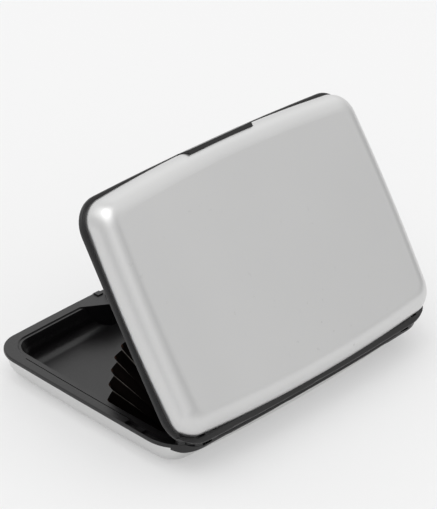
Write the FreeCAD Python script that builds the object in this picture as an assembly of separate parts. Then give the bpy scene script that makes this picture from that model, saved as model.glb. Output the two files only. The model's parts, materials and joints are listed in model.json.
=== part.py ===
import FreeCAD, Part
import math
import os

# Hinged aluminium card case with an accordion card holder.
# The row frame has its origin at the centre of the flat underside of the lower shell.
# X runs along the hinge, -Y is the latch side, +Y is the hinge side and Z is up.
# Every half is drawn closed and face down, and the lid's parts are then turned open.

V = FreeCAD.Vector

# Driving dimensions, in millimetres and degrees
LENGTH = 110.8
HALF_HEIGHT = 9.15
FRONT_EDGE = -36.9
BACK_EDGE = 38.2
REST_OPENING = 53.8
PARTING_GAP = 0.1

FRAME_CORNER = 9.15
FRAME_BACK_CORNER = 11.0
FRAME_BULGE_SHORT = 0.3
FRAME_BULGE_LONG = 1.2
BAND_HEIGHT = 1.4
BAND_TOP_ROUND = 0.35
BAND_LOW_ROUND = 0.45
BEAD_HEIGHT = 3.1
BEAD_STEP = 0.4
BEAD_Y = (33.0, 36.0)

SHELL_HALF_X = 54.35
SHELL_HALF_Y = 36.7
SHELL_CORNER = 7.4
SHELL_FIELD_CORNER = 3.2
SHELL_BULGE_SHORT = 1.0
SHELL_BULGE_LONG = 2.4
SHELL_SKIN = 0.6
EDGE_REACH = 5.9
EDGE_RISE = 6.7
EDGE_STEPS = 6

RECESS_HALF_X = 50.8
RECESS_FRONT = -33.75
RECESS_BACK = 32.4
RECESS_CORNER = 6.4
RECESS_BULGE_SHORT = 0.3
RECESS_BULGE_LONG = 1.0
RECESS_SLOPE = 2.0
RECESS_FILLET = 3.5
FLOOR_Z = 1.5
TUB_WALL = 0.75
WALL_STEPS = 5
LIP_CHAMFER = 0.35

PIN_Y = 35.53
PIN_RADIUS = 0.6
PIN_CLEARANCE = 0.05
KNUCKLE_RADIUS = 2.7
KNUCKLE_GAP = 0.2
KNUCKLE_INSET = 0.12
LOWER_KNUCKLES = ((38.6, 41.2), (44.8, 47.4))
UPPER_KNUCKLES = ((41.5, 44.5),)
PIN_SPAN = (38.8, 47.2)
END_CHEEK = (50.1, 51.6)
END_CHEEK_RADIUS = 2.2
GROOVE_HALF_ANGLE = 46.0

RELIEF_INSETS = (0.5, 2.7)
RELIEF_Y = (17.0, 33.0)
RELIEF_DEPTH = 1.2
RELIEF_STEP_Y = (20.6, 23.0)
RELIEF_STEP_DROP = 0.45
GROOVE_INSETS = (2.85, 3.15)
GROOVE_Y = (-24.5, 18.0)
GROOVE_DEPTH = 0.3
SIDE_FROM_X = 40.0

LATCH_HALF = 13.0
LATCH_FACE = FRONT_EDGE + 0.05
LATCH_DEPTH_Z = HALF_HEIGHT - 6.2
LATCH_SHELL_GAP = 0.15
HOUSING_BACK = FRONT_EDGE + 8.2
HOUSING_HALF_NARROW = 12.6
HOUSING_HALF_WIDE = 21.1
BUTTON_HALF = 10.5
BUTTON_Y = (FRONT_EDGE + 0.05, FRONT_EDGE + 3.1)
BUTTON_Z = (HALF_HEIGHT - 4.45, HALF_HEIGHT - 0.3)
BUTTON_TRAVEL = 1.0
BUTTON_GAP = 0.2
BUTTON_ROUND = 0.4
CHEEK_INNER = 10.9
CHEEK_RISE = 0.4
CHEEK_Y = (FRONT_EDGE + 0.5, FRONT_EDGE + 2.3)
LUG_HALF = 11.6
LUG_Y = (FRONT_EDGE + 1.6, FRONT_EDGE + 2.6)
LUG_Z = (HALF_HEIGHT - 3.9, HALF_HEIGHT - 1.0)
HOOK_X = (6.6, 9.4)
HOOK_Y = (FRONT_EDGE + 2.1, FRONT_EDGE + 3.0)
HOOK_TOP = HALF_HEIGHT + 2.3
BARB_REACH = 0.75
BARB_HEIGHT = 1.0
LEDGE_Z = (HALF_HEIGHT + 0.4, HALF_HEIGHT + 1.1)
LEDGE_REACH = 0.6
CATCH_FRONT = FRONT_EDGE + 1.1
CATCH_BACK = FRONT_EDGE + 4.5
CATCH_TOP = HALF_HEIGHT + 3.5
SPRING_X = 5.0
SPRING_Z = HALF_HEIGHT - 2.5
SPRING_WIRE = 0.35
SPRING_DIAMETER = 2.4
SPRING_TURNS = 4
SPRING_SIDES = 12
SPRING_BACK = FRONT_EDGE + 7.2

POCKETS = 9
SHEET = 0.35
TAPE = 0.15
FAN_FRONT = 33.6
FAN_REAR = 9.4
DIVIDER_HALF_X = 43.0
DIVIDER_CORNER = 2.0
GUSSET_SHEET = 0.25
GUSSET_REACH_FRONT = 1.7
GUSSET_REACH_REAR = 2.6
RIDGE_ADVANCE = 0.3
SPINE_REACH = 1.3
SHEET_CLEARANCE = 0.12
TAPE_HALF_X = 33.0
TAPE_Y = (5.5, 23.0)

FRAME_HALF_X = LENGTH / 2
FRAME_HALF_Y = (BACK_EDGE - FRONT_EDGE) / 2
FRAME_CENTRE_Y = (BACK_EDGE + FRONT_EDGE) / 2
RECESS_HALF_Y = (RECESS_BACK - RECESS_FRONT) / 2
RECESS_CENTRE_Y = (RECESS_BACK + RECESS_FRONT) / 2
RIM_Z = HALF_HEIGHT - BAND_HEIGHT
TOP_Z = HALF_HEIGHT - PARTING_GAP
BEAD_Z = HALF_HEIGHT - BEAD_HEIGHT
BORE_RADIUS = PIN_RADIUS + PIN_CLEARANCE
LEAF_Z = FLOOR_Z + TAPE + SHEET / 2
SHEET_STEP = 2 * (HALF_HEIGHT - LEAF_Z) / POCKETS
PIN_POINT = V(0, PIN_Y, HALF_HEIGHT)
HINGE_AXIS = V(1, 0, 0)


def box(x, y, z):
    """Block between two values on each axis."""
    return Part.makeBox(x[1] - x[0], y[1] - y[0], z[1] - z[0], V(x[0], y[0], z[0]))


def both_sides(shape):
    """The shape and its mirror image across the middle of the hinge, in one compound."""
    return Part.makeCompound([shape, shape.mirror(V(0, 0, 0), V(1, 0, 0))])


def corner_points(half_x, half_y, corner, bulge_x, bulge_y):
    """Ends and middle of the arc that joins a short side's bow to a long side's bow."""
    radius_short = ((half_y - bulge_y) ** 2 + bulge_x ** 2) / (2 * bulge_x)
    radius_long = ((half_x - bulge_x) ** 2 + bulge_y ** 2) / (2 * bulge_y)
    centre_short = half_x - radius_short
    centre_long = half_y - radius_long
    reach_short = radius_short - corner
    reach_long = radius_long - corner
    gap = math.hypot(centre_short, centre_long)
    along = (reach_short ** 2 - reach_long ** 2 + gap ** 2) / (2 * gap)
    across = math.sqrt(reach_short ** 2 - along ** 2)
    corner_x = centre_short - (along * centre_short + across * centre_long) / gap
    corner_y = (along * centre_long - across * centre_short) / gap
    on_short = (centre_short + (corner_x - centre_short) * radius_short / reach_short,
                corner_y * radius_short / reach_short)
    on_long = (corner_x * radius_long / reach_long,
               centre_long + (corner_y - centre_long) * radius_long / reach_long)
    lean = math.atan2(on_short[1] + on_long[1] - 2 * corner_y, on_short[0] + on_long[0] - 2 * corner_x)
    on_corner = (corner_x + corner * math.cos(lean), corner_y + corner * math.sin(lean))
    return on_short, on_corner, on_long


def outline(half_x, half_y, corner, bulge_x, bulge_y, z, centre_y=0.0, back_corner=None):
    """Rounded rectangle whose sides bow outward, as eight arcs that meet smoothly."""
    front = corner_points(half_x, half_y, corner, bulge_x, bulge_y)
    back = corner_points(half_x, half_y, back_corner or corner, bulge_x, bulge_y)
    short_middle = (half_x, 0.0)
    long_middle = (0.0, half_y)
    route = []
    for sign_x, sign_y, middle, quarter in ((1, 1, short_middle, back), (-1, 1, long_middle, back[::-1]),
                                            (-1, -1, short_middle, front), (1, -1, long_middle, front[::-1])):
        for place in (middle,) + quarter:
            route.append(V(place[0] * sign_x, place[1] * sign_y + centre_y, z))
    arcs = []
    for k in range(0, len(route), 2):
        arcs.append(Part.Arc(route[k - 1], route[k], route[k + 1]).toShape())
    return Part.Wire(arcs)


def prism(wire, height):
    """Solid that a flat closed wire sweeps straight up."""
    return Part.Face(wire).extrude(V(0, 0, height))


def frame_outline(inset, z):
    """Outline of the plastic frames, moved inward by an inset."""
    return outline(FRAME_HALF_X - inset, FRAME_HALF_Y - inset, FRAME_CORNER - inset,
                   FRAME_BULGE_SHORT, FRAME_BULGE_LONG, z, FRAME_CENTRE_Y, FRAME_BACK_CORNER - inset)


def shell_outline(inset, corner, z):
    """Outline of the metal shells, moved inward by an inset."""
    return outline(SHELL_HALF_X - inset, SHELL_HALF_Y - inset, corner,
                   SHELL_BULGE_SHORT, SHELL_BULGE_LONG, z)


def shell_block(skin, top):
    """Solid inside the drawn shell's surface, or inside its inner face when skin is its thickness."""
    wires = [shell_outline(skin, SHELL_CORNER - skin, top)]
    for step in range(EDGE_STEPS + 1):
        angle = math.radians(90 * step / EDGE_STEPS)
        share = 1 - math.cos(angle)
        corner = SHELL_CORNER - skin - (SHELL_CORNER - SHELL_FIELD_CORNER) * share
        inset = skin + (EDGE_REACH - skin) * share
        wires.append(shell_outline(inset, corner, skin + (EDGE_RISE - skin) * (1 - math.sin(angle))))
    return Part.makeLoft(wires, True, False)


def bead_region(gap):
    """Space of the deep bead along the hinge, whose ends slope, grown by a gap."""
    corners = [(BEAD_Y[0] - gap, HALF_HEIGHT), (BEAD_Y[0] - gap, RIM_Z - BEAD_STEP - gap),
               (BEAD_Y[1] - gap, BEAD_Z - gap), (LENGTH, BEAD_Z - gap), (LENGTH, HALF_HEIGHT)]
    points = [V(-LENGTH, y, z) for y, z in corners]
    return Part.Face(Part.makePolygon(points + points[:1])).extrude(V(2 * LENGTH, 0, 0))


def shell_half():
    """Drawn aluminium shell, face down, notched for the latch and for the hinge bead."""
    shell = shell_block(0.0, RIM_Z).cut(shell_block(SHELL_SKIN, HALF_HEIGHT))
    latch_half = LATCH_HALF + LATCH_SHELL_GAP
    latch_notch = box((-latch_half, latch_half), (-LENGTH, HOUSING_BACK),
                      (LATCH_DEPTH_Z - LATCH_SHELL_GAP, LENGTH))
    return shell.cut(bead_region(PARTING_GAP)).cut(latch_notch)


def tray_block(grow, floor, fillet, top):
    """Solid with the sloping sides and rounded floor edge of the tray, grown outward by a wall."""
    def section(inset, z):
        out = grow - inset
        return outline(RECESS_HALF_X + out, RECESS_HALF_Y + out, RECESS_CORNER + grow - inset / 2,
                       RECESS_BULGE_SHORT, RECESS_BULGE_LONG, z, RECESS_CENTRE_Y)
    wires = []
    for step in range(WALL_STEPS):
        share = step / WALL_STEPS
        wires.append(section(RECESS_SLOPE * share, top + (floor + fillet - top) * share))
    for step in range(EDGE_STEPS + 1):
        angle = math.radians(90 * step / EDGE_STEPS)
        inset = RECESS_SLOPE + fillet * (1 - math.cos(angle))
        wires.append(section(inset, floor + fillet * (1 - math.sin(angle))))
    return Part.makeLoft(wires, True, False)


def lip_chamfer():
    """Small bevel cut round the mouth of the tray."""
    wires = []
    for grow, z in ((0.0, TOP_Z - LIP_CHAMFER), (2 * LIP_CHAMFER, TOP_Z + LIP_CHAMFER)):
        wires.append(outline(RECESS_HALF_X + grow, RECESS_HALF_Y + grow, RECESS_CORNER + grow,
                             RECESS_BULGE_SHORT, RECESS_BULGE_LONG, z, RECESS_CENTRE_Y))
    return Part.makeLoft(wires, True, True)


def rounded_slab(low, high):
    """Slab of the frame's outline with both of its outer edges rounded."""
    slab = prism(frame_outline(0.0, low), high - low)
    for z, radius in ((high, BAND_TOP_ROUND), (low, BAND_LOW_ROUND)):
        edges = [edge for edge in slab.Edges
                 if edge.BoundBox.ZMin > z - 0.01 and edge.BoundBox.ZMax < z + 0.01]
        slab = slab.makeFillet(radius, edges)
    return slab


def latch_housing(tray):
    """Widened front wall that carries the latch."""
    corners = [(-HOUSING_HALF_WIDE, RECESS_FRONT - 2), (-HOUSING_HALF_WIDE, RECESS_FRONT),
               (-HOUSING_HALF_NARROW, HOUSING_BACK), (HOUSING_HALF_NARROW, HOUSING_BACK),
               (HOUSING_HALF_WIDE, RECESS_FRONT), (HOUSING_HALF_WIDE, RECESS_FRONT - 2)]
    points = [V(x, y, 0) for x, y in corners]
    inner = prism(Part.makePolygon(points + points[:1]), TOP_Z).common(tray)
    front = box((-LATCH_HALF, LATCH_HALF), (LATCH_FACE, RECESS_FRONT + 1), (LATCH_DEPTH_Z, TOP_Z))
    return inner.fuse(front)


def rim_ring(insets, y_span, depth):
    """Groove that follows the rim of the short sides between two insets from its outline."""
    low = TOP_Z - depth
    outer, inner = [prism(frame_outline(inset, low), HALF_HEIGHT) for inset in insets]
    ring = outer.cut(inner)
    return both_sides(ring.common(box((SIDE_FROM_X, LENGTH), y_span, (low, LENGTH))))


def hinge_groove():
    """Wedge cut from a frame's back edge, so that the lid can turn upright."""
    reach = HALF_HEIGHT
    drop = reach * math.tan(math.radians(GROOVE_HALF_ANGLE))
    corners = [(0, 0), (reach, -drop), (reach, reach), (0, reach)]
    points = [V(-LENGTH, PIN_Y + y, HALF_HEIGHT + z) for y, z in corners]
    return Part.Face(Part.makePolygon(points + points[:1])).extrude(V(2 * LENGTH, 0, 0))


def barrel(span, radius):
    """Cylinder about the hinge axis, on one side."""
    return Part.makeCylinder(radius, span[1] - span[0], V(span[0], PIN_Y, HALF_HEIGHT), HINGE_AXIS)


def frame_half():
    """Plastic frame and its tray, face down, as both halves share it."""
    tray = tray_block(TUB_WALL, SHELL_SKIN, RECESS_FILLET + 1, TOP_Z)
    bead = rounded_slab(BEAD_Z, TOP_Z).common(bead_region(0.0))
    neck_inset = SHELL_SKIN + SHEET_CLEARANCE
    neck = prism(shell_outline(neck_inset, SHELL_CORNER - neck_inset, EDGE_RISE), RIM_Z - EDGE_RISE)
    frame = rounded_slab(RIM_Z, TOP_Z).fuse([neck, bead, tray])
    frame = frame.cut(tray_block(0.0, FLOOR_Z, RECESS_FILLET, HALF_HEIGHT + 1))
    frame = frame.cut(lip_chamfer())
    frame = frame.fuse(latch_housing(tray))
    frame = frame.cut(box((-LATCH_HALF, LATCH_HALF), (-LENGTH, LATCH_FACE), (0, LENGTH)))
    frame = frame.cut(rim_ring(GROOVE_INSETS, GROOVE_Y, GROOVE_DEPTH))
    return frame.cut(hinge_groove())


def knuckle(span, radius):
    """Pair of barrels about the hinge axis, trimmed just inside the outline of the closed case."""
    return both_sides(barrel(span, radius).common(prism(frame_outline(KNUCKLE_INSET, 0.0), 2 * HALF_HEIGHT)))


def with_knuckles(frame, own, other):
    """Frame with its own knuckles added and room cut for the other frame's knuckles."""
    for span in other:
        wider = (span[0] - KNUCKLE_GAP, span[1] + KNUCKLE_GAP)
        frame = frame.cut(both_sides(barrel(wider, KNUCKLE_RADIUS + KNUCKLE_GAP)))
    for span in own:
        frame = frame.fuse(knuckle(span, KNUCKLE_RADIUS))
    return frame


def lower_frame():
    """Lower plastic frame with its knuckles, end cheeks and button housing."""
    frame = with_knuckles(frame_half(), LOWER_KNUCKLES, UPPER_KNUCKLES)
    frame = frame.fuse(knuckle(END_CHEEK, END_CHEEK_RADIUS))
    frame = frame.cut(both_sides(barrel(PIN_SPAN, PIN_RADIUS)))
    relief = rim_ring(RELIEF_INSETS, RELIEF_Y, RELIEF_DEPTH)
    step = box((-LENGTH, LENGTH), RELIEF_STEP_Y, (0, TOP_Z - RELIEF_STEP_DROP))
    frame = frame.cut(relief.cut(step))
    frame = frame.fuse(both_sides(latch_cheek(0.0)))
    window = box((-BUTTON_HALF - BUTTON_GAP, BUTTON_HALF + BUTTON_GAP), (-LENGTH, CATCH_BACK),
                 (BUTTON_Z[0] - BUTTON_GAP, HALF_HEIGHT))
    slot = box((-LUG_HALF - BUTTON_GAP, LUG_HALF + BUTTON_GAP),
               (LUG_Y[0] - BUTTON_GAP, LUG_Y[1] + BUTTON_TRAVEL + BUTTON_GAP),
               (LUG_Z[0] - BUTTON_GAP, LUG_Z[1] + BUTTON_GAP))
    frame = frame.cut(window).cut(slot)
    bore = Part.makeCylinder(SPRING_DIAMETER / 2 + SPRING_WIRE, SPRING_BACK - CATCH_BACK,
                             V(SPRING_X, CATCH_BACK, SPRING_Z), V(0, 1, 0))
    return frame.cut(both_sides(bore))


def latch_cheek(gap):
    """Small raised corner beside the button, grown by a gap to cut its seat in the lid."""
    return box((CHEEK_INNER - gap, LATCH_HALF + gap), (CHEEK_Y[0] - gap, CHEEK_Y[1] + gap),
               (TOP_Z - 2 * gap - CHEEK_RISE, TOP_Z + CHEEK_RISE + gap))


def face_up(shape):
    """The shape of a half turned over, as it lies in the closed lid."""
    return shape.mirror(V(0, 0, HALF_HEIGHT), V(0, 0, 1))


def turned_open(shape, share=1.0):
    """The shape turned about the hinge by a share of the opening at rest."""
    moved = shape.copy()
    moved.rotate(PIN_POINT, HINGE_AXIS, -REST_OPENING * share)
    return moved


def upper_frame():
    """Lid frame with its middle knuckles and the ledges that the latch hooks catch."""
    frame = with_knuckles(face_up(frame_half()), UPPER_KNUCKLES, LOWER_KNUCKLES)
    cheek_room = (END_CHEEK[0] - KNUCKLE_GAP, END_CHEEK[1] + KNUCKLE_GAP)
    frame = frame.cut(both_sides(barrel(cheek_room, END_CHEEK_RADIUS + KNUCKLE_GAP)))
    frame = frame.cut(both_sides(barrel(PIN_SPAN, BORE_RADIUS)))
    frame = frame.cut(both_sides(latch_cheek(2 * PARTING_GAP)))
    pocket_half = BUTTON_HALF + BUTTON_GAP
    frame = frame.cut(box((-pocket_half, pocket_half), (CATCH_FRONT, CATCH_BACK), (HALF_HEIGHT, CATCH_TOP)))
    ledge = box(HOOK_X, (CATCH_FRONT, CATCH_FRONT + LEDGE_REACH), LEDGE_Z)
    return turned_open(frame.fuse(both_sides(ledge)))


def hinge_pins():
    """Two short steel pins, held in the lower knuckles."""
    return both_sides(barrel(PIN_SPAN, PIN_RADIUS))


def latch_button():
    """Push button with side lugs that keep it in and two hooks that hold the lid."""
    button = box((-BUTTON_HALF, BUTTON_HALF), BUTTON_Y, BUTTON_Z)
    front = [edge for edge in button.Edges if edge.BoundBox.YMax < BUTTON_Y[0] + BUTTON_GAP]
    button = button.makeFillet(BUTTON_ROUND, front)
    button = button.fuse(box((-LUG_HALF, LUG_HALF), LUG_Y, LUG_Z))
    button = button.fuse(both_sides(box(HOOK_X, HOOK_Y, (BUTTON_Z[1] - BUTTON_ROUND, HOOK_TOP))))
    barb = [(HOOK_Y[0], HOOK_TOP - BARB_HEIGHT), (HOOK_Y[0] - BARB_REACH, HOOK_TOP - BARB_HEIGHT),
            (HOOK_Y[0], HOOK_TOP)]
    points = [V(HOOK_X[0], y, z) for y, z in barb]
    wedge = Part.Face(Part.makePolygon(points + points[:1])).extrude(V(HOOK_X[1] - HOOK_X[0], 0, 0))
    return button.fuse(both_sides(wedge)).removeSplitter()


def latch_springs():
    """Two small coil springs that push the button out, their wire drawn with many flat sides."""
    free = SPRING_BACK - BUTTON_Y[1] - SPRING_WIRE - 2 * SHEET_CLEARANCE
    pitch = free / SPRING_TURNS
    start = V(SPRING_DIAMETER / 2, 0, 0)
    radial = V(1, 0, 0)
    along = V(0, math.pi * SPRING_DIAMETER, pitch).normalize()
    across = along.cross(radial)
    points = []
    for side in range(SPRING_SIDES + 1):
        angle = 2 * math.pi * side / SPRING_SIDES
        points.append(start + (radial * math.cos(angle) + across * math.sin(angle)) * (SPRING_WIRE / 2))
    helix = Part.Wire(Part.makeHelix(pitch, free, SPRING_DIAMETER / 2))
    coil = helix.makePipeShell([Part.makePolygon(points)], True, True)
    coil.rotate(V(0, 0, 0), V(1, 0, 0), -90)
    coil.translate(V(SPRING_X, BUTTON_Y[1] + SHEET_CLEARANCE + SPRING_WIRE / 2, SPRING_Z))
    return both_sides(coil)


def sheet(level):
    """One flat sheet of the card holder where it lies in the closed case."""
    half = SHEET / 2
    middle = LEAF_Z + level * SHEET_STEP
    plate = box((-DIVIDER_HALF_X, DIVIDER_HALF_X), (PIN_Y - FAN_FRONT, PIN_Y - FAN_REAR),
                (middle - half, middle + half))
    corners = [edge for edge in plate.Edges
               if edge.BoundBox.YMax < PIN_Y - FAN_FRONT + SHEET and edge.BoundBox.ZLength > half]
    return plate.makeFillet(DIVIDER_CORNER, corners)


def tape(z):
    """Thin strip of adhesive under a leaf of the card holder."""
    return box((-TAPE_HALF_X, TAPE_HALF_X), TAPE_Y, (z, z + TAPE))


def fan_point(x, radius, level):
    """A point of the card holder at rest, at a distance from the hinge and a level in the stack."""
    place = V(x, PIN_Y - radius, LEAF_Z + level * SHEET_STEP)
    turn = FreeCAD.Rotation(HINGE_AXIS, -REST_OPENING * level / POCKETS)
    return PIN_POINT + turn.multVec(place - PIN_POINT)


def folded_sheet(face, back):
    """Closed solid between two zigzag surfaces, each given as lines from end to end."""
    last = len(face) - 1
    quads = []
    for k in range(last):
        quads.append((face[k][0], face[k + 1][0], face[k + 1][1], face[k][1]))
        quads.append((back[k][0], back[k][1], back[k + 1][1], back[k + 1][0]))
        for end in (0, 1):
            quads.append((face[k][end], back[k][end], back[k + 1][end], face[k + 1][end]))
    for k in (0, last):
        quads.append((face[k][0], face[k][1], back[k][1], back[k][0]))
    faces = []
    for a, b, c, d in quads:
        faces.append(Part.Face(Part.makePolygon([a, b, c, a])))
        faces.append(Part.Face(Part.makePolygon([a, c, d, a])))
    solid = Part.makeSolid(Part.makeShell(faces))
    if solid.Volume < 0:
        solid.reverse()
    return solid


def side_gusset():
    """Pleated strip that joins the sheets along one short side."""
    surfaces = []
    for skin in (SHEET_CLEARANCE, SHEET_CLEARANCE + GUSSET_SHEET):
        lines = []
        for fold in range(2 * POCKETS + 1):
            ridge = fold % 2
            x = DIVIDER_HALF_X + skin
            front = fan_point(x + ridge * GUSSET_REACH_FRONT, FAN_FRONT + ridge * RIDGE_ADVANCE, fold / 2)
            rear = fan_point(x + ridge * GUSSET_REACH_REAR, FAN_REAR, fold / 2)
            lines.append((front, rear))
        surfaces.append(lines)
    return folded_sheet(*surfaces)


def rear_gusset():
    """Pleated strip that closes the pockets along the hinge."""
    surfaces = []
    for skin in (SHEET_CLEARANCE, SHEET_CLEARANCE + GUSSET_SHEET):
        lines = []
        for fold in range(2 * POCKETS + 1):
            radius = FAN_REAR - skin - (fold % 2) * SPINE_REACH
            lines.append((fan_point(-DIVIDER_HALF_X, radius, fold / 2),
                          fan_point(DIVIDER_HALF_X, radius, fold / 2)))
        surfaces.append(lines)
    return folded_sheet(*surfaces)


def build():
    """Every node by its name."""
    nodes = {
        "lower_shell": shell_half(),
        "lower_frame": lower_frame(),
        "upper_shell": turned_open(face_up(shell_half())),
        "upper_frame": upper_frame(),
        "hinge_pins": hinge_pins(),
        "latch_button": latch_button(),
        "latch_springs": latch_springs(),
        "lower_tape": tape(FLOOR_Z),
        "upper_tape": turned_open(face_up(tape(FLOOR_Z))),
        "lower_leaf": sheet(0),
        "upper_leaf": turned_open(sheet(POCKETS)),
        "left_gusset": side_gusset().mirror(V(0, 0, 0), V(1, 0, 0)),
        "right_gusset": side_gusset(),
        "rear_gusset": rear_gusset(),
    }
    for level in range(1, POCKETS):
        nodes[f"divider_{level}"] = turned_open(sheet(level), level / POCKETS)
    return nodes


def main():
    os.makedirs("parts", exist_ok=True)
    for name, shape in build().items():
        shape.exportStep(f"parts/{name}.step")
        print(name, "valid" if shape.isValid() else "NOT VALID", len(shape.Solids), round(shape.Volume, 2))


main()
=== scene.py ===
import json
import math

import bmesh
import bpy
from mathutils import Matrix, Vector

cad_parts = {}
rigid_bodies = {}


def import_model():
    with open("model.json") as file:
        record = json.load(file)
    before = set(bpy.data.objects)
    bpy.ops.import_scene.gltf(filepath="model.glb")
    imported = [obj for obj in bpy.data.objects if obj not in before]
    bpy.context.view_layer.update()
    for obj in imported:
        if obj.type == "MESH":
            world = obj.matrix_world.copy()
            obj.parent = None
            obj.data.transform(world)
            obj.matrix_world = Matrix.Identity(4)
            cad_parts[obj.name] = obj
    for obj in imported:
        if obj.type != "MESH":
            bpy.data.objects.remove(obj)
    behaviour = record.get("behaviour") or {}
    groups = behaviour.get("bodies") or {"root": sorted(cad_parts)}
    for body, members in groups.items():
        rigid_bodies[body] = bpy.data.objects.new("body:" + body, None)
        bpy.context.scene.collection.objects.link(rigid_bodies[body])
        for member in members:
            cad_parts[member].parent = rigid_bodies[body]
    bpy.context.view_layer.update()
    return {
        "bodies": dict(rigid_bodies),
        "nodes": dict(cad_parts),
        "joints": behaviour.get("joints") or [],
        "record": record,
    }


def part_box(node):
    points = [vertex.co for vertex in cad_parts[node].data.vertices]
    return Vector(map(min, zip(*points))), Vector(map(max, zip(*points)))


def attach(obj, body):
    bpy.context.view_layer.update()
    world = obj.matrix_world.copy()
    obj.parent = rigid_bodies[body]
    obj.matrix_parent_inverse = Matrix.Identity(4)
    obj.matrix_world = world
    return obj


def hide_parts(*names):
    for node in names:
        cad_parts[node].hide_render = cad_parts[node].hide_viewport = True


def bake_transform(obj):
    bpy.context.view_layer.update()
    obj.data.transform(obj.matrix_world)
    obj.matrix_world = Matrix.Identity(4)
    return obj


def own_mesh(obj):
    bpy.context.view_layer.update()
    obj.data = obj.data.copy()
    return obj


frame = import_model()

MM = 0.001
JOINTS = {joint["name"]: joint for joint in frame["joints"]}

# The hinge, read from the frame
PIN = Vector(JOINTS["lid_hinge"]["pos_m"])
REST_OPENING = -math.radians(JOINTS["lid_hinge"]["range_deg"][0])
POCKETS = 1 + sum(name.startswith("divider_") for name in frame["bodies"])

# The fan of sheets, read from the lowest one: how far they reach from the hinge, and their spacing
LEAF_LOW, LEAF_HIGH = (Vector(corner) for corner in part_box("lower_leaf"))
FAN_HALF_X = LEAF_HIGH.x
FAN_FRONT = PIN.y - LEAF_LOW.y
FAN_REAR = PIN.y - LEAF_HIGH.y
LEAF_Z = (LEAF_LOW.z + LEAF_HIGH.z) / 2
SHEET_STEP = 2 * (PIN.z - LEAF_Z) / POCKETS

# The pleats between the sheets
PLEAT_GAP = 0.12 * MM
PLEAT_FILM = 0.25 * MM
PLEAT_REACH_FRONT = 1.7 * MM
PLEAT_REACH_REAR = 2.6 * MM
PLEAT_ADVANCE = 0.3 * MM
SPINE_REACH = 1.3 * MM
PLEAT_UNEVEN = 0.12
UNEVEN_STEP = 2.4
FOLD_SHARPNESS = 1.2
# How quickly the painted light at the folds fades from the front towards the hinge
FOLD_LIGHT_FADE = 14
# Fine steps next to the sheets, where the pleats join them and carry a painted highlight
JOIN_STEPS = (0.0, 0.02, 0.05)
PLEAT_STEPS = JOIN_STEPS + (0.2, 0.35, 0.5, 0.65, 0.8) + tuple(1 - step for step in reversed(JOIN_STEPS))
PLEAT_ROWS = 12
# Width of the painted highlight along the short side edges of the sheets
EDGE_HIGHLIGHT_WIDTH = 0.3 * MM

# The latch's two springs, read from their node
SPRINGS_LOW, SPRINGS_HIGH = (Vector(corner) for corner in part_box("latch_springs"))
SPRING_OUTER = (SPRINGS_HIGH.z - SPRINGS_LOW.z) / 2
SPRING_LENGTH = SPRINGS_HIGH.y - SPRINGS_LOW.y
SPRING_WIRE = 0.35 * MM
SPRING_TURNS = 4
SPRING_STEPS = 24
SPRING_SIDES = 10

# Camera: where it stands, what it looks at, and its lens
CAMERA_AZIMUTH = 130.54
CAMERA_ELEVATION = 30.30
CAMERA_ROLL = 3.85
CAMERA_DISTANCE = 0.7611
CAMERA_TARGET = Vector((-0.02414, -0.02058, 0.015))
CAMERA_LENS = 178.3
CAMERA_CLIP = 0.05

# Floor: its size, its pale tone, and the faint glow that keeps the shadows on it light
FLOOR_HALF = 3.0
FLOOR_TONE = 0.56
FLOOR_ROUGHNESS = 0.8
FLOOR_GLOW = 0.3

# Studio: brightness of the surroundings, as soft patches in compass direction from +Y towards +X,
# height above the horizon, half width, half height and how much brighter or darker they are
STUDIO_LEVEL = 0.80
STUDIO_PATCHES = (
    (0, 30, 24, 24, -0.30),
    (78, 2, 12, 22, -0.08),
    (50, 20, 12, 30, 0.10),
    (-90, 50, 60, 30, 0.16),
    (-66, 6, 20, 18, -0.26),
    (-130, 32, 24, 20, 0.15),
    (107, 76, 7, 7, 1.8),
    (45, 78, 14, 14, 1.0),
    (90, 66, 45, 18, 0.55),
)
PATCH_FADE = (0.5, 1.5)

# Colours, dark to light where there are two
ALUMINIUM = ((0.635, 0.636, 0.635), (0.695, 0.693, 0.688))
ALUMINIUM_SCUFF = (0.5, 0.5, 0.49)
FRAME_BLACK = (0.0042, 0.0038, 0.0042)
BUTTON_BLACK = (0.005, 0.0045, 0.005)
SHEET_BLACK = ((0.0022, 0.0018, 0.0017), (0.0045, 0.0035, 0.0032))
# Painted highlight colour for the short side edges of the sheets
SHEET_EDGE_HIGHLIGHT = (0.11, 0.1, 0.09)
FILM_BLACK = ((0.0016, 0.0013, 0.0012), (0.004, 0.003, 0.0027))
# Painted light: brownish tone where light shows through the thin film at the folds
FILM_LIT_BROWN = (0.04, 0.018, 0.012)
# Painted highlight colour for the lines where the pleats join the sheets
FILM_JOIN_HIGHLIGHT = (0.12, 0.11, 0.1)
STEEL = ((0.42, 0.42, 0.43), (0.6, 0.6, 0.61))
TAPE_WHITE = ((0.6, 0.59, 0.55), (0.72, 0.71, 0.68))

# Where in a noise's range its two tones are reached
SPREAD = (0.3, 0.7)


def make_camera():
    azimuth = math.radians(CAMERA_AZIMUTH)
    elevation = math.radians(CAMERA_ELEVATION)
    roll = math.radians(CAMERA_ROLL)
    back = Vector((math.sin(azimuth) * math.cos(elevation), -math.cos(azimuth) * math.cos(elevation),
                   math.sin(elevation)))
    right = Vector((0, 0, 1)).cross(back).normalized()
    up = back.cross(right)
    turned_right = right * math.cos(roll) + up * math.sin(roll)
    turned_up = up * math.cos(roll) - right * math.sin(roll)
    data = bpy.data.cameras.new("camera")
    data.lens = CAMERA_LENS
    data.clip_start = CAMERA_CLIP
    camera = bpy.data.objects.new("camera", data)
    bpy.context.scene.collection.objects.link(camera)
    axes = Matrix((turned_right, turned_up, back)).transposed()
    camera.matrix_world = Matrix.Translation(CAMERA_TARGET + back * CAMERA_DISTANCE) @ axes.to_4x4()
    bpy.context.scene.camera = camera


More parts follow.
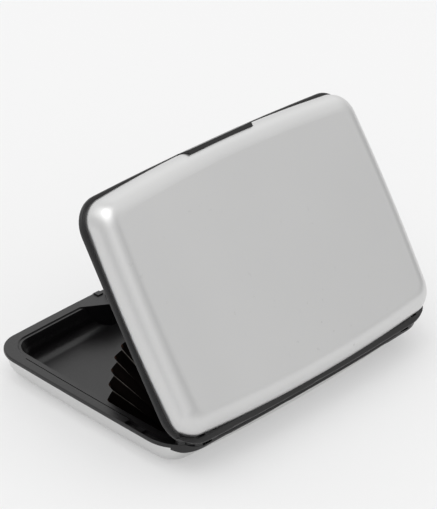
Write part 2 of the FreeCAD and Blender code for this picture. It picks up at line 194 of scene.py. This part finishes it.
class Nodes:
    """Short way to write a node tree."""

    def __init__(self, tree):
        self.tree = tree

    def add(self, kind, **values):
        node = self.tree.nodes.new("ShaderNode" + kind)
        for key, value in values.items():
            if key in node.inputs:
                node.inputs[key].default_value = value
            else:
                setattr(node, key, value)
        return node

    def link(self, out, socket):
        self.tree.links.new(out, socket)

    def place(self):
        return self.add("TexCoord").outputs["Object"]

    def noise(self, scale, detail, vector=None):
        node = self.add("TexNoise", Scale=scale, Detail=detail)
        self.link(vector or self.place(), node.inputs["Vector"])
        return node.outputs["Fac"]

    def tones(self, value, colours, spread=SPREAD):
        """Colour that goes from the first to the second as the value crosses the spread."""
        node = self.add("ValToRGB")
        for element, position, colour in zip(node.color_ramp.elements, spread, colours):
            element.position = position
            element.color = (*colour, 1)
        self.link(value, node.inputs["Fac"])
        return node.outputs["Color"]

    def mix(self, share, first, second):
        node = self.add("Mix", data_type="RGBA")
        self.link(share, node.inputs["Factor"])
        self.link(first, node.inputs[6])
        node.inputs[7].default_value = (*second, 1)
        return node.outputs[2]

    def attribute(self, name):
        return self.add("Attribute", attribute_name=name).outputs["Fac"]

    def map(self, value, low, high, start=0.0, end=1.0):
        node = self.add("MapRange")
        for socket, number in zip(("From Min", "From Max", "To Min", "To Max"), (start, end, low, high)):
            node.inputs[socket].default_value = number
        self.link(value, node.inputs["Value"])
        return node.outputs["Result"]

    def math(self, kind, a, b=None):
        node = self.add("Math", operation=kind)
        for socket, value in zip(node.inputs, (a, b)):
            if value is None:
                continue
            if isinstance(value, (int, float)):
                socket.default_value = value
            else:
                self.link(value, socket)
        return node.outputs[0]

    def dot(self, vector, fixed):
        node = self.add("VectorMath", operation="DOT_PRODUCT")
        self.link(vector, node.inputs[0])
        node.inputs[1].default_value = fixed
        return node.outputs["Value"]


class Surface(Nodes):
    """Node tree of a new material."""

    def __init__(self, name):
        self.material = bpy.data.materials.new(name)
        self.material.use_nodes = True
        super().__init__(self.material.node_tree)
        self.shader = self.tree.nodes["Principled BSDF"]

    def set(self, name, value):
        self.shader.inputs[name].default_value = value

    def drive(self, name, out):
        self.link(out, self.shader.inputs[name])

    def bump(self, height, distance, strength):
        node = self.add("Bump", Strength=strength, Distance=distance)
        self.link(height, node.inputs["Height"])
        self.drive("Normal", node.outputs["Normal"])


def blasted_aluminium(name):
    """Bead blasted and anodised sheet: fine pits, faint clouding, dull smears and a few handling scuffs."""
    n = Surface(name)
    n.set("Metallic", 1.0)
    scuffs = n.map(n.noise(420, 3), 0.0, 1.0, 0.66, 0.76)
    wear_and_light = n.map(n.noise(45, 2), 0.0, 1.0, 0.5, 0.75)
    dull = n.math("MULTIPLY", scuffs, wear_and_light)
    n.drive("Base Color", n.mix(dull, n.tones(n.noise(18, 3), ALUMINIUM, (0.0, 1.0)), ALUMINIUM_SCUFF))
    smear = n.map(n.noise(55, 4), 0.285, 0.335, *SPREAD)
    n.drive("Roughness", n.math("ADD", smear, n.math("MULTIPLY", dull, 0.1)))
    n.bump(n.noise(2600, 2), 0.00002, 0.5)
    return n.material


def moulded_plastic(name, base, gloss):
    """Black moulding with a fine texture and a slightly uneven tone."""
    n = Surface(name)
    bright = tuple(channel * 1.25 for channel in base)
    n.drive("Base Color", n.tones(n.noise(60, 2), (base, bright), (0.35, 0.7)))
    grain = n.noise(2600, 3)
    n.drive("Roughness", n.map(grain, gloss - 0.06, gloss + 0.06, *SPREAD))
    n.bump(grain, 0.00004, 0.5)
    return n.material


def thin_sheet(name):
    """Thin black plastic sheet with a soft sheen, and a painted highlight along its short side edges where they
    catch the light.
    """
    n = Surface(name)
    n.set("Specular IOR Level", 0.05)
    across = n.add("SeparateXYZ")
    n.link(n.place(), across.inputs[0])
    # Painted highlight: the short side edges are coloured paler for the light they catch
    edge_highlight = n.map(n.math("ABSOLUTE", across.outputs["X"]), 0.0, 1.0, FAN_HALF_X - EDGE_HIGHLIGHT_WIDTH, FAN_HALF_X)
    n.drive("Base Color", n.mix(edge_highlight, n.tones(n.noise(80, 2), SHEET_BLACK), SHEET_EDGE_HIGHLIGHT))
    grain = n.noise(900, 2)
    n.drive("Roughness", n.map(grain, 0.38, 0.5))
    n.bump(grain, 0.00002, 0.4)
    return n.material


def pleated_film(name):
    """Thin black pleats, with painted light (a brownish tone) where light shows through the film at the front of
    the folds, and a painted highlight in paler lines where they join the sheets.
    """
    n = Surface(name)
    n.set("Specular IOR Level", 0.0)
    # Painted light: the front of each fold is tinted brown for light shining through the thin film
    fold_light = n.map(n.attribute("fold"), 0.0, 1.0, 0.6, 1.0)
    wear_and_light = n.mix(fold_light, n.tones(n.noise(120, 2), FILM_BLACK), FILM_LIT_BROWN)
    # Painted highlight: paler, patchy lines where the pleats meet the sheets, for the light their edges catch
    patchy = n.map(n.noise(260, 2), 0.45, 1.0, *SPREAD)
    join_highlight = n.math("MULTIPLY", n.attribute("join_highlight"), patchy)
    n.drive("Base Color", n.mix(join_highlight, wear_and_light, FILM_JOIN_HIGHLIGHT))
    grain = n.noise(1200, 3)
    n.drive("Roughness", n.map(grain, 0.4, 0.55))
    n.bump(grain, 0.00003, 0.5)
    return n.material


def drawn_steel(name):
    """Bright wire with drawing lines along X."""
    n = Surface(name)
    n.set("Metallic", 1.0)
    streak = n.add("Mapping", Scale=(1, 30, 30))
    n.link(n.place(), streak.inputs["Vector"])
    lines = n.noise(300, 3, vector=streak.outputs["Vector"])
    n.drive("Base Color", n.tones(lines, STEEL))
    n.drive("Roughness", n.map(lines, 0.22, 0.4))
    n.bump(lines, 0.00001, 0.3)
    return n.material


def white_tape(name):
    """Matt fibrous tape."""
    n = Surface(name)
    fibre = n.noise(1500, 3)
    n.drive("Base Color", n.tones(fibre, TAPE_WHITE))
    n.drive("Roughness", n.map(fibre, 0.6, 0.8))
    n.bump(fibre, 0.00002, 0.3)
    return n.material


def paint(piece, material):
    piece.data.materials.clear()
    piece.data.materials.append(material)


def dress_cad_nodes():
    """Give every CAD node the material of its slot, and return the materials by slot."""
    by_slot = {
        "shell_aluminium": blasted_aluminium("blasted_aluminium"),
        "frame_black": moulded_plastic("frame_plastic", FRAME_BLACK, 0.34),
        "button_black": moulded_plastic("button_plastic", BUTTON_BLACK, 0.3),
        "pin_steel": drawn_steel("pin_steel"),
        "spring_steel": drawn_steel("spring_steel"),
        "tape_white": white_tape("tape_white"),
        "sheet_black": thin_sheet("sheet_black"),
        "gusset_black": pleated_film("gusset_black"),
    }
    for part in frame["record"]["subparts"]:
        paint(frame["nodes"][part["node"]], by_slot[part["material_slot"]])
    return by_slot


def closed_piece(name, points, faces, smooth):
    """New piece from points and faces, all facing outward, with the faces in the smooth range shaded round."""
    mesh = bpy.data.meshes.new(name)
    mesh.from_pydata(points, [], faces)
    shape = bmesh.new()
    shape.from_mesh(mesh)
    bmesh.ops.recalc_face_normals(shape, faces=shape.faces)
    shape.to_mesh(mesh)
    shape.free()
    for polygon in mesh.polygons[smooth]:
        polygon.use_smooth = True
    piece = bpy.data.objects.new(name, mesh)
    bpy.context.scene.collection.objects.link(piece)
    return piece


def fan_point(x, radius, level):
    """A point of the card holder at rest, at a distance from the hinge and a level in the stack."""
    place = Vector((x, PIN.y - radius, LEAF_Z + level * SHEET_STEP))
    turn = Matrix.Rotation(-REST_OPENING * level / POCKETS, 3, "X")
    return PIN + turn @ (place - PIN)


def fold(share):
    """How far a pleat stands out, from 0 at the sheets to 1 at its fold."""
    return 1 - abs(2 * share - 1) ** FOLD_SHARPNESS


def unevenness(side, pocket):
    """How much further than the others one side pleat stands out, as a share near 1."""
    return 1 + PLEAT_UNEVEN * math.sin(UNEVEN_STEP * pocket + side)


def film_piece(name, surfaces, marks):
    """Closed thin sheet between two grids of points, with its colour marks at every point."""
    rows, columns = len(surfaces[0]), len(surfaces[0][0])
    points = [point for grid in surfaces for row in grid for point in row]
    back = rows * columns
    faces = []
    for row in range(rows - 1):
        for column in range(columns - 1):
            corner = row * columns + column
            quad = (corner, corner + 1, corner + columns + 1, corner + columns)
            faces.append(quad)
            faces.append(tuple(back + index for index in reversed(quad)))
    sides = slice(0, len(faces))
    rim = list(range(columns))
    rim += [row * columns + columns - 1 for row in range(1, rows)]
    rim += [(rows - 1) * columns + column for column in reversed(range(columns - 1))]
    rim += [row * columns for row in reversed(range(1, rows - 1))]
    for first, second in zip(rim, rim[1:] + rim[:1]):
        faces.append((first, back + first, back + second, second))
    piece = closed_piece(name, points, faces, sides)
    for label, values in marks.items():
        attribute = piece.data.attributes.new(label, "FLOAT", "POINT")
        attribute.data.foreach_set("value", values * len(surfaces))
    return piece


def turn_with_pocket(piece):
    """Bake the placement of one pocket's pleat into its points; the pleat is not tied to the sheets."""
    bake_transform(piece)


def side_pleat(name, side, pocket):
    """Pleat of one pocket at one end of the sheets, folded outward."""
    reach_share = unevenness(side, pocket)
    surfaces = []
    for skin in (PLEAT_GAP, PLEAT_GAP + PLEAT_FILM):
        grid = []
        for row in range(PLEAT_ROWS + 1):
            inward = row / PLEAT_ROWS
            reach = PLEAT_REACH_FRONT + (PLEAT_REACH_REAR - PLEAT_REACH_FRONT) * inward
            line = []
            for share in PLEAT_STEPS:
                out = fold(share) * reach_share
                front = FAN_FRONT + PLEAT_ADVANCE * out
                rear = FAN_REAR - SPINE_REACH * fold(share)
                radius = front + (rear - front) * inward
                line.append(fan_point(side * (FAN_HALF_X + skin + reach * out), radius, pocket + share))
            grid.append(line)
        surfaces.append(grid)
    # Where the painted light of the folds lies: on the fold, fading towards the hinge
    fold_light_mark = [max(0.0, 2 * fold(share) - 1) * (1 - row / PLEAT_ROWS) ** FOLD_LIGHT_FADE
                 for row in range(PLEAT_ROWS + 1) for share in PLEAT_STEPS]
    # Where the painted highlight lies: along the joins with the sheets
    join_highlight_mark = [1.0 if min(share, 1 - share) < JOIN_STEPS[-1] else 0.0
                 for row in range(PLEAT_ROWS + 1) for share in PLEAT_STEPS]
    return film_piece(name, surfaces, {"fold": fold_light_mark, "join_highlight": join_highlight_mark})


def rear_pleat(name, pocket):
    """Pleat that closes one pocket along the hinge."""
    surfaces = []
    for skin in (PLEAT_GAP, PLEAT_GAP + PLEAT_FILM):
        grid = []
        for share in PLEAT_STEPS:
            radius = FAN_REAR - skin - fold(share) * SPINE_REACH
            left, right = (
                side * (FAN_HALF_X + PLEAT_GAP + PLEAT_REACH_REAR * fold(share) * unevenness(side, pocket))
                for side in (-1, 1)
            )
            grid.append([fan_point(x, radius, pocket + share) for x in (left, 0, right)])
        surfaces.append(grid)
    clear = [0.0] * (len(surfaces[0][0]) * len(PLEAT_STEPS))
    return film_piece(name, surfaces, {"fold": clear, "join_highlight": clear})


def make_pleats(material):
    for pocket in range(POCKETS):
        pleats = {
            "left_gusset": side_pleat(f"left_pleat_{pocket + 1}", -1, pocket),
            "right_gusset": side_pleat(f"right_pleat_{pocket + 1}", 1, pocket),
            "rear_gusset": rear_pleat(f"rear_pleat_{pocket + 1}", pocket),
        }
        for node, piece in pleats.items():
            paint(piece, material)
            turn_with_pocket(piece)
            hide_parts(node)


def coil(name, centre_x):
    """Round wire wound into one compression spring along Y."""
    radius = SPRING_OUTER - SPRING_WIRE / 2
    pitch = (SPRING_LENGTH - SPRING_WIRE) / SPRING_TURNS
    points = []
    for step in range(SPRING_TURNS * SPRING_STEPS + 1):
        turned = step / SPRING_STEPS
        cosine, sine = math.cos(2 * math.pi * turned), math.sin(2 * math.pi * turned)
        outward = Vector((cosine, 0, sine))
        along = Vector((-sine * 2 * math.pi * radius, pitch, cosine * 2 * math.pi * radius)).normalized()
        across = along.cross(outward)
        middle = Vector((centre_x, SPRINGS_LOW.y + SPRING_WIRE / 2 + pitch * turned, SPRINGS_LOW.z + SPRING_OUTER))
        middle += outward * radius
        for side in range(SPRING_SIDES):
            angle = 2 * math.pi * side / SPRING_SIDES
            points.append(middle + (outward * math.cos(angle) + across * math.sin(angle)) * (SPRING_WIRE / 2))
    last = len(points) - SPRING_SIDES
    ends = [tuple(range(SPRING_SIDES)), tuple(reversed(range(last, last + SPRING_SIDES)))]
    faces = list(ends)
    for start in range(0, last, SPRING_SIDES):
        for side in range(SPRING_SIDES):
            after = (side + 1) % SPRING_SIDES
            faces.append((start + side, start + SPRING_SIDES + side, start + SPRING_SIDES + after, start + after))
    return closed_piece(name, points, faces, slice(len(ends), None))


def make_springs(material):
    """The two latch springs, fixed to the base with the frame."""
    for name, side in (("left_latch_spring", -1), ("right_latch_spring", 1)):
        centre_x = side * (SPRINGS_HIGH.x - SPRING_OUTER)
        piece = coil(name, centre_x)
        paint(piece, material)
        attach(piece, "base")
        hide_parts("latch_springs")
        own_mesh(piece)


def direction(compass, height):
    compass, height = math.radians(compass), math.radians(height)
    return Vector((math.sin(compass) * math.cos(height), math.cos(compass) * math.cos(height), math.sin(height)))


def studio_patch(n, view, centre, half_width, half_height, strength):
    """Soft-edged patch of light or shade on the studio's walls."""
    across = centre.cross(Vector((0, 0, 1))).normalized()
    upward = across.cross(centre)
    fades = []
    for axis, half in ((across, half_width), (upward, half_height)):
        reach = math.sin(math.radians(half))
        offset = n.math("ABSOLUTE", n.dot(view, axis))
        fades.append(n.map(offset, 1.0, 0.0, *(reach * share for share in PATCH_FADE)))
    facing = n.math("GREATER_THAN", n.dot(view, centre), 0.0)
    patch = n.math("MULTIPLY", n.math("MULTIPLY", fades[0], fades[1]), facing)
    return n.math("MULTIPLY", patch, strength)


def make_floor():
    corners = [(-FLOOR_HALF, -FLOOR_HALF, 0), (FLOOR_HALF, -FLOOR_HALF, 0), (FLOOR_HALF, FLOOR_HALF, 0),
               (-FLOOR_HALF, FLOOR_HALF, 0)]
    mesh = bpy.data.meshes.new("floor")
    mesh.from_pydata(corners, [], [(0, 1, 2, 3)])
    floor = bpy.data.objects.new("floor", mesh)
    bpy.context.scene.collection.objects.link(floor)
    n = Surface("floor")
    n.set("Base Color", (FLOOR_TONE, FLOOR_TONE, FLOOR_TONE, 1))
    n.set("Roughness", FLOOR_ROUGHNESS)
    n.set("Emission Color", (1, 1, 1, 1))
    n.set("Emission Strength", FLOOR_GLOW)
    paint(floor, n.material)


def make_studio():
    world = bpy.data.worlds.new("studio")
    bpy.context.scene.world = world
    world.use_nodes = True
    n = Nodes(world.node_tree)
    view = n.add("TexCoord").outputs["Generated"]
    level = STUDIO_LEVEL
    for compass, height, half_width, half_height, strength in STUDIO_PATCHES:
        patch = studio_patch(n, view, direction(compass, height), half_width, half_height, strength)
        level = n.math("ADD", patch, level)
    background = n.tree.nodes["Background"]
    n.link(level, background.inputs["Strength"])
    background.inputs["Color"].default_value = (1, 1, 1, 1)
    bpy.context.scene.view_settings.view_transform = "Standard"


make_camera()
make_floor()
make_studio()
materials = dress_cad_nodes()
make_pleats(materials["gusset_black"])
make_springs(materials["spring_steel"])
